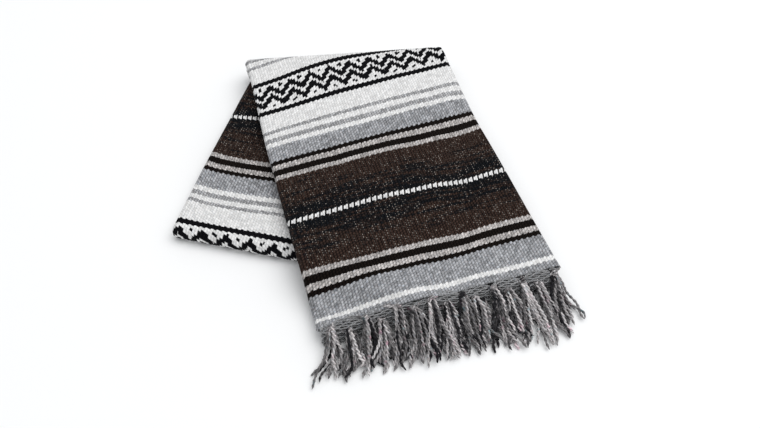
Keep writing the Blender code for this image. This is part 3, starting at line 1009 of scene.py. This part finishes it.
upper_mesh = woven_sheet("outer_cloth_upper_weave", UPPER_FIRST, UPPER_LAST, lay_upper)
upper_cloth = add_piece(upper_mesh, striped_weave, "outer_cloth_upper")
thicken(upper_cloth, CLOTH_INNER)

# %% The lower stretch
LOWER_FIRST = LOWER_START - 0.4400
LOWER_LAST = LOWER_START + PAST_TURN * MIDDLE_RADIUS
LOWER_SHARE = 0.998  # how much of its way to the slanting fold the sheet goes


def lay_lower(share, arc, distance, rise):
    along = lower_along(arc, distance)
    inset, depth = packet_round(arc, rise)
    places = lower_place(share, inset, along, depth)
    return places, (along < lower_length(STRIP * share) * LOWER_SHARE) & (along > -PAST_TURN * MIDDLE_RADIUS)


lower_mesh = woven_sheet("outer_cloth_lower_weave", LOWER_FIRST, LOWER_LAST, lay_lower)
lower_cloth = add_piece(lower_mesh, striped_weave, "outer_cloth_lower")
thicken(lower_cloth, CLOTH_INNER)

# %% [markdown]
# ## The hidden layers
# Each leg is two packets of four layers. The outer cloth wraps the upper packet, and of the rest only rolled
# edges and the ends show. So each packet is one closed ring swept along its leg: cheaper than eight sheets,
# and the stripes still run on round its edges. The upper packet is drawn in to make room for the outer cloth.

# %% Packets
RING_FLAT = 14
RING_ROLL = 10
PACKET_ROW = 2.0 * PICK
DRAWN_IN = CLOTH_INNER + 0.0009
INNER_PACKETS = (
    # leg, depth of its top, how far it is drawn in, first and last stripe distance
    ("upper", 0.0, DRAWN_IN, -0.1600, 0.4160),
    ("upper", SECOND, 0.0, -0.1590, 0.3900),
    ("lower", 0.0, DRAWN_IN, -0.1500, 0.2590),
    ("lower", SECOND, 0.0, -0.1500, 0.2290),
)
NEAR_INSET = 0.0012  # the packets end this much inside the outer cloth at the fringe
FAR_TURN = 0.97 * math.pi
LOWER_REACH = 0.99
SEAM_MERGE = 0.00002


def ring_stations():
    """Round a packet: share across, and angle from the top face."""
    flat = np.linspace(0.0, 1.0, RING_FLAT + 1)
    roll = np.linspace(0.0, math.pi, RING_ROLL + 1)
    shares = [flat, np.ones(RING_ROLL), 1.0 - flat[1:], np.zeros(RING_ROLL - 1)]
    angles = [np.zeros(RING_FLAT + 1), roll[1:], np.full(RING_FLAT, math.pi), roll[-2:0:-1]]
    return np.concatenate(shares), np.concatenate(angles)


def closed(form, mesh, merge):
    """Close a rolled-up grid at its seam and its ends, with its faces outwards."""
    bmesh.ops.remove_doubles(form, verts=form.verts, dist=merge)
    rims = [edge for edge in form.edges if edge.is_boundary]
    bmesh.ops.holes_fill(form, edges=rims, sides=0)
    bmesh.ops.recalc_face_normals(form, faces=form.faces)
    return finished(form, mesh)


def packet_mesh(leg, top, drawn_in, first, last):
    """One closed packet."""
    shares, angles = ring_stations()
    mesh, station, row = grid_mesh("packet", len(shares), round((last - first) / PACKET_ROW))
    share = shares[station % len(shares)]
    angle = angles[station % len(shares)]
    distance = first + row * PACKET_ROW
    arc = (share - 0.5) * 2.0 * FLAT_HALF
    at_edge = np.where(share == 1.0, 1.0, 0.0) - np.where(share == 0.0, 1.0, 0.0)
    radius = ROLL - drawn_in
    inset = ROLL - radius * np.sin(angle)
    depth = top + ROLL - radius * np.cos(angle)
    if leg == "upper":
        x = (share - 0.5) * STRIP
        past_fold = axis_y(x) + FAR_TURN * TOP_RADIUS / math.cos(SLANT)
        along = np.clip(upper_along(arc, distance), near_end_y(x) + NEAR_INSET, past_fold)
        places = upper_place(share, inset, along, depth)
    else:
        along = np.minimum(lower_along(arc, distance), LOWER_REACH * lower_length(STRIP * share))
        places = lower_place(share, inset, along, depth)
    return closed(lay(mesh, places, "weave", arc + at_edge * angle * ROLL, distance), mesh, SEAM_MERGE)


def joined(name, meshes):
    """Several meshes as one."""
    form = bmesh.new()
    for mesh in meshes:
        form.from_mesh(mesh)
    for mesh in set(meshes):
        bpy.data.meshes.remove(mesh)
    return mesh_of(form, name)


hidden_mesh = joined("hidden_layers_weave", [packet_mesh(*row) for row in INNER_PACKETS])
hidden = add_piece(hidden_mesh, shaded_hidden_weave, "hidden_layers")

# %% [markdown]
# ## The yarn of the fringe
# The warps left over at each end are knotted in bundles, and below the knots they hang as loose two-ply yarn.
# Curve objects would do, but hundreds of them are slow. Here one template tube is rolled from a grid, copied
# as often as needed, and each copy is laid along its own path. Its flattened section turns as it goes, which
# gives the look of two plies twisted together.

# %% A tube of two-ply yarn
STRAND_STEPS = 64
STRAND_SIDES = 6
BINDING_STEPS = 30
BINDING_SIDES = 5
YARN_WIDE = 0.0020  # half the width of the two plies side by side
YARN_THIN = 0.0013
PLY_TURN = 0.0070  # run of yarn in which the plies change places
PLY_OFFSET = 1.7  # how far the next yarn's plies are turned from this one's
ROOT_TAPER = 0.0015
TIP_TAPER = 0.006
LOWEST = 0.0004
YARN_MERGE = 0.000008
HEADER_MARK = 1.0  # added to the run of a weft yarn, so that the material can tell it from a warp


def unit(rows):
    """Each row at a length of 1."""
    return rows / np.maximum(np.linalg.norm(rows, axis=1), 1e-9)[:, None]


def yarn_mesh(name, paths, sides):
    """Lay one tube along each path. A path is (points, scale, mark), all with equally many points."""
    template, step, side = grid_mesh("yarn template", len(paths[0][0]) - 1, sides)
    mesh = joined(name, [template] * len(paths))
    around = side / sides * 2.0 * math.pi
    places = []
    yarns = []
    runs = []
    for number, (points, scale, mark) in enumerate(paths):
        along = unit(np.gradient(points, axis=0))
        length = np.concatenate(([0.0], np.cumsum(np.linalg.norm(np.diff(points, axis=0), axis=1))))
        beside = unit(np.cross(along, np.array((0.05, 0.0, 1.0))))
        above = np.cross(beside, along)
        turn = (math.pi * length / PLY_TURN + number * PLY_OFFSET)[step]
        taper = np.clip(np.minimum(length / ROOT_TAPER, (length[-1] - length) / TIP_TAPER), 0.0, 1.0) ** 0.6
        wide = YARN_WIDE * scale * taper[step] * np.cos(around)
        thin = YARN_THIN * scale * taper[step] * np.sin(around)
        out_beside = wide * np.cos(turn) - thin * np.sin(turn)
        out_above = wide * np.sin(turn) + thin * np.cos(turn)
        place = points[step] + beside[step] * out_beside[:, None] + above[step] * out_above[:, None]
        place[:, 2] = np.maximum(place[:, 2], LOWEST)
        places.append(place)
        yarns.append(number + 0.02 + 0.96 * side / sides)  # the yarn's number, and how far round it
        runs.append(length[step] + mark)
    form = lay(mesh, np.concatenate(places), "yarn", np.concatenate(yarns), np.concatenate(runs))
    return closed(form, mesh, YARN_MERGE)


print("a strand has", STRAND_STEPS * STRAND_SIDES, "faces")

# %% [markdown]
# Each bundle gathers the warps of its stretch of cloth into a knot just past the end. From there its strands
# run over the folded edge and spread on the floor, where they part, cross and curl a little. The chance in
# them is seeded, so that the fringe is the same each time.

# %% Bundles, knots and scallops
BUNDLES = 8
END_MARGIN = 0.0165
REACH = 0.083
REACH_SLOPE = 0.11
SWAY = -0.0098
SWAY_SLOPE = 0.075
FLOOR_LIE = 0.0022
STRAND_FALL = (
    # share of its reach, share of its height that is left
    (0.00, 1.00),
    (0.12, 1.03),
    (0.25, 0.93),
    (0.50, 0.45),
    (0.75, 0.14),
    (1.00, 0.00),
)
FRINGE_ROWS = (
    # fringe, place of its first bundle in bundle steps, bundles, depth, its cloth's end, knots' place,
    # strands, reach
    ("near", 0.00, 8, 0.0012, 0.0055, 0.0135, 8, 1.02),
    ("near", 0.45, 7, 0.0060, 0.0080, 0.0190, 6, 0.96),
    ("far", 0.55, 7, 0.0128, 0.0115, 0.0225, 8, 0.98),
    ("far", 0.05, 8, 0.0180, 0.0140, 0.0245, 6, 0.94),
)
FANS = (
    # place of the bundle in bundle steps, how far its tips spread left and right, lean, share of the reach
    (0.0, 0.017, 0.014, -0.010, 1.05),
    (0.6, 0.016, 0.016, -0.005, 1.05),
    (3.0, 0.017, 0.017, 0.000, 1.02),
    (4.2, 0.016, 0.016, -0.001, 0.93),
    (5.2, 0.016, 0.016, -0.002, 0.98),
    (6.1, 0.016, 0.016, -0.003, 1.08),
    (6.6, 0.012, 0.016, -0.009, 0.97),
    (7.0, 0.012, 0.022, -0.021, 0.80),
)
TAIL = 0.13  # a strand starts this far before its knot, if the knot is at 0 and its tip at 1
TAIL_BACK = 0.0090  # how far back into the cloth that is
TAIL_DROP = 0.0032
BUNDLE_HALF = 0.0040  # half the width of a bundle at its knot
GATHER_HALF = 0.0120  # half the width of cloth whose warps a knot gathers
BUNDLE_STRAY = (0.0022, 0.0012)
TIP_STRAY = 0.0075
START_HEIGHTS = (-0.0020, 0.0016)
REACH_SHARES = (0.74, 1.06)
YARN_SCALES = (0.92, 1.30)
WANDERS = (0.0020, 0.0085)  # least and most that a strand strays sideways
SLOW_WAVES = (2.5, 6.0)  # radians of its waves over its reach
QUICK_WAVES = (7.0, 15.0)
QUICK_SHARE = 0.4
SHUFFLE = 0.0026  # how far its waves take it back and forth
LIE_MORE = 0.0065  # the most that a strand lies above the lowest ones
ROOT_LIFT = 0.0016
KNOT_RADIUS = 0.0034
KNOT_OVAL = (1.25, 0.9)
KNOT_TURNS = 1.9
KNOT_RUN = (0.0024, -0.0040)
KNOT_WAVE = 0.0012
KNOT_DROP = 0.0010
KNOT_STARTS = (0.4, 2.5, 4.4)
KNOT_SCALES = (0.92, 1.12)
KNOT_REACH = 0.0058  # a bundle whose knot lies further out than this reaches that much less far past it
WEFTS = 7
WEFT_STEP = 0.0021
WEFT_SCALE = 0.66
WEFT_PAST = 0.04  # share of its length by which a weft runs past each knot
WEFT_WAVE = 0.0009
WEFT_DROP = 0.0003
HEADER_INSETS = (0.003, 0.009)  # from the strip's left and right edge to the ends of the last wefts
chance = np.random.default_rng(20)


def bundle_root(place, depth, out):
    """Where a bundle's knot lies. place counts bundle steps from the left."""
    left, right = upper_sides(0.0)
    x = left + END_MARGIN + (right - left - 2.0 * END_MARGIN) * place / (BUNDLES - 1)
    end = near_end_y(x)
    height = support(x, end) + float(settled(np.array([x]), np.array([end]))[0])
    return np.array((x, end - out, height + LEG - depth))


def strand(root, spread_from, tip_across, lean, reach):
    """One loose strand, from the cloth through the knot to its tip."""
    share = np.linspace(-TAIL, 1.0, STRAND_STEPS + 1)
    below = np.clip(share, 0.0, 1.0)
    above = np.clip(-share / TAIL, 0.0, 1.0)
    sway = (SWAY + SWAY_SLOPE * root[0] + lean) * (reach / REACH) ** 1.5 * below ** 1.5
    waves = chance.uniform(0.0, 2.0 * math.pi, 4)
    size = chance.uniform(*WANDERS, 2)
    wander = size[0] * np.sin(waves[0] + below * chance.uniform(*SLOW_WAVES)) * below
    quick = size[1] * QUICK_SHARE * np.sin(waves[1] + below * chance.uniform(*QUICK_WAVES)) * below
    spread = spread_from * smooth(above) + tip_across * below ** 1.4
    x = root[0] + sway + wander + quick + spread
    fanned = math.sqrt(max(1.0 - (tip_across / reach) ** 2, 0.3))
    shuffle = SHUFFLE * np.sin(waves[2] + below * 8.0) * below
    y = root[1] - reach * fanned * below + shuffle + above * TAIL_BACK
    lie = FLOOR_LIE + chance.uniform(0.0, LIE_MORE) * (0.35 + 0.65 * np.sin(waves[3] + below * 5.0) ** 2)
    z = lie + (root[2] - lie) * curve_through(STRAND_FALL, 1, below) - above * TAIL_DROP
    z = z + ROOT_LIFT * chance.uniform(-1.0, 1.0) * (1.0 - below)
    return np.stack((x, y, np.maximum(z, FLOOR_LIE - 0.0006)), axis=-1) - REST


def knot(root, turn_from, size):
    """Yarn wound round a bundle."""
    angle = turn_from + np.linspace(0.0, KNOT_TURNS * 2.0 * math.pi, BINDING_STEPS + 1)
    radius = KNOT_RADIUS * size
    run = np.linspace(*KNOT_RUN, BINDING_STEPS + 1)
    x = root[0] + radius * KNOT_OVAL[0] * np.cos(angle)
    y = root[1] + run + KNOT_WAVE * np.sin(angle + 0.8)
    z = root[2] - KNOT_DROP + radius * KNOT_OVAL[1] * np.sin(angle)
    return np.stack((x, y, z), axis=-1) - REST


def scallop(first, second, end_out, knots_out, number):
    """One of the last wefts between two knots. It runs along the cloth's end and dips to each knot."""
    share = np.linspace(-WEFT_PAST, 1.0 + WEFT_PAST, BINDING_STEPS + 1)
    dip = np.minimum(np.abs(2.0 * share - 1.0) ** (2.4 + 0.5 * number), 1.0)
    line = first + (second - first) * share[:, None]
    out = end_out + WEFT_STEP * (number - 0.6)
    out = out + (knots_out - 0.0010 - out) * dip
    wave = WEFT_WAVE * np.sin(share * 13.0 + number * 2.3 + first[0] * 90.0)
    line[:, 1] = near_end_y(line[:, 0]) - out + wave
    line[:, 2] = line[:, 2] + 0.0010 - WEFT_DROP * (number + 2.0 * dip)
    return line - REST


def bundle(place, root, knots_out, strand_count, reach_share):
    """Paths of one bundle's strands, and of the yarn that is wound round it."""
    to_left, to_right, lean, fan_reach = (
        float(np.interp(place, column(FANS, 0), column(FANS, number))) for number in range(1, 5)
    )
    full_reach = (REACH + REACH_SLOPE * root[0]) * reach_share * fan_reach - (knots_out - KNOT_REACH)
    root = root + np.array([chance.uniform(-stray, stray) for stray in BUNDLE_STRAY] + [0.0])
    strands = []
    for number in range(strand_count):
        across = 2.0 * number / (strand_count - 1) - 1.0
        reach = full_reach * chance.uniform(*REACH_SHARES)
        tip_across = across * (to_right if across > 0.0 else to_left) + chance.uniform(-TIP_STRAY, TIP_STRAY)
        start = root + np.array((across * BUNDLE_HALF, 0.0, chance.uniform(*START_HEIGHTS)))
        path = strand(start, across * GATHER_HALF, tip_across, lean, reach)
        strands.append((path, chance.uniform(*YARN_SCALES), 0.0))
    knots = [(knot(root, turn_from, chance.uniform(*KNOT_SCALES)), 1.0, 0.0) for turn_from in KNOT_STARTS]
    return strands, knots


def fringe_paths(which):
    """Paths of all strands of one end, and of the yarns that bind them."""
    strands = []
    bindings = []
    left, right = upper_sides(0.0)
    for fringe, first, count, depth, end_out, knots_out, strand_count, reach_share in FRINGE_ROWS:
        if fringe != which:
            continue
        places = [first + number for number in range(count)]
        roots = [bundle_root(place, depth, knots_out) for place in places]
        for place, root in zip(places, roots):
            loose, knots = bundle(place, root, knots_out, strand_count, reach_share)
            strands += loose
            bindings += knots
        ends = [2 * roots[0] - roots[1]] + roots + [2 * roots[-1] - roots[-2]]
        ends[0][0] = max(ends[0][0], left + HEADER_INSETS[0])
        ends[-1][0] = min(ends[-1][0], right - HEADER_INSETS[1])
        ends[0][2] = roots[0][2]
        ends[-1][2] = roots[-1][2]
        for one, other in zip(ends, ends[1:]):
            for number in range(WEFTS):
                path = scallop(one, other, end_out, knots_out, number)
                bindings.append((path, WEFT_SCALE, HEADER_MARK))
    return strands, bindings


near_paths = fringe_paths("near")
far_paths = fringe_paths("far")
print([len(paths) for paths in near_paths + far_paths], "strands and bindings of the two ends")

# %% [markdown]
# Each yarn of the fringe has a tone of its own between dark and light, which drifts along it, and hints of
# dyed fibre. The header's wefts are an even gray. The furrows between the two plies of a yarn are shaded.

# %% Material: fringe yarn
YARN_DARK = (0.030, 0.029, 0.033)
YARN_LIGHT = (0.76, 0.725, 0.72)
HEADER_GRAY = (0.37, 0.372, 0.375)
FIBRE_HINTS = (
    # where in the noise, colour of the dyed fibres that show there
    (0.26, (0.55, 1.05, 1.15)),
    (0.40, (1.0, 1.0, 1.0)),
    (0.60, (1.0, 1.0, 1.0)),
    (0.76, (1.35, 0.78, 0.98)),
)
YARN_SHIFT = 9.7  # mm of noise between one yarn and the next
YARN_ROUND = 4.0  # mm of noise round a yarn
OWN_TONE = 1.10
DRIFT_TONE = 0.85
BASE_TONE = 0.59
TONE_DRIFT = (1.0, 0.09, 2.0, 0.6)
HINT_GRAIN = (1.0, 0.045, 3.0, 0.7)
HINT_SHIFT = 50.0
PLY_FURROW_SHADE = 0.26
YARN_BUMP = 0.0006


def yarn_finish():
    finish, shader, numbered, run = yarn_shader("heathered fringe yarn", 0.06, "yarn")
    number = maths("FLOOR", numbered)
    around = numbered - number
    header = run > HEADER_MARK * 0.5
    run = run * MM
    random = dice(number, 3.0)
    shift = number * YARN_SHIFT
    tone = random * OWN_TONE + noise(shift, run, TONE_DRIFT) * DRIFT_TONE - BASE_TONE
    colour = blend(tone, YARN_DARK, YARN_LIGHT)
    hint = ramp(noise(shift + HINT_SHIFT, run, HINT_GRAIN), FIBRE_HINTS)
    colour = blend(1.0, colour, hint, "MULTIPLY")
    colour = blend(header, colour, HEADER_GRAY)
    heather = use_group(
        heather_group, Color=colour, Across_mm=shift + around * YARN_ROUND, Along_mm=run, Random=random,
        Amount=1.0, Speckle=0.5,
    )
    ply = maths("COSINE", around * (4.0 * math.pi))
    # painted shade in the furrows between the two plies of each yarn
    colour = darkened(heather["Color"], ply * PLY_FURROW_SHADE + (1.0 - PLY_FURROW_SHADE))
    dress(shader, colour, heather["Fibre"], 0.7, YARN_BUMP)
    return finish


fringe_yarn = yarn_finish()
print("material", fringe_yarn.name)

# %% The two fringes
def add_fringe(name, node_name, paths):
    """All yarns of one end as one piece."""
    strands, bindings = paths
    strand_part = yarn_mesh("strands", strands, STRAND_SIDES)
    binding_part = yarn_mesh("bindings", bindings, BINDING_SIDES)
    mesh = joined(name, [strand_part, binding_part])
    return add_piece(mesh, fringe_yarn, node_name)


near_fringe = add_fringe("fringe_near_end_yarn", "fringe_near_end", near_paths)
far_fringe = add_fringe("fringe_far_end_yarn", "fringe_far_end", far_paths)

# %% [markdown]
# ## The cloth
# The two stretches of cloth that show are the sheets laid above, with the size they were cut to: the width
# round the packet from tuck to tuck, and the length from the fringe to where each one passes out of sight.

# %% Sheets
print("two sheets of outer cloth")
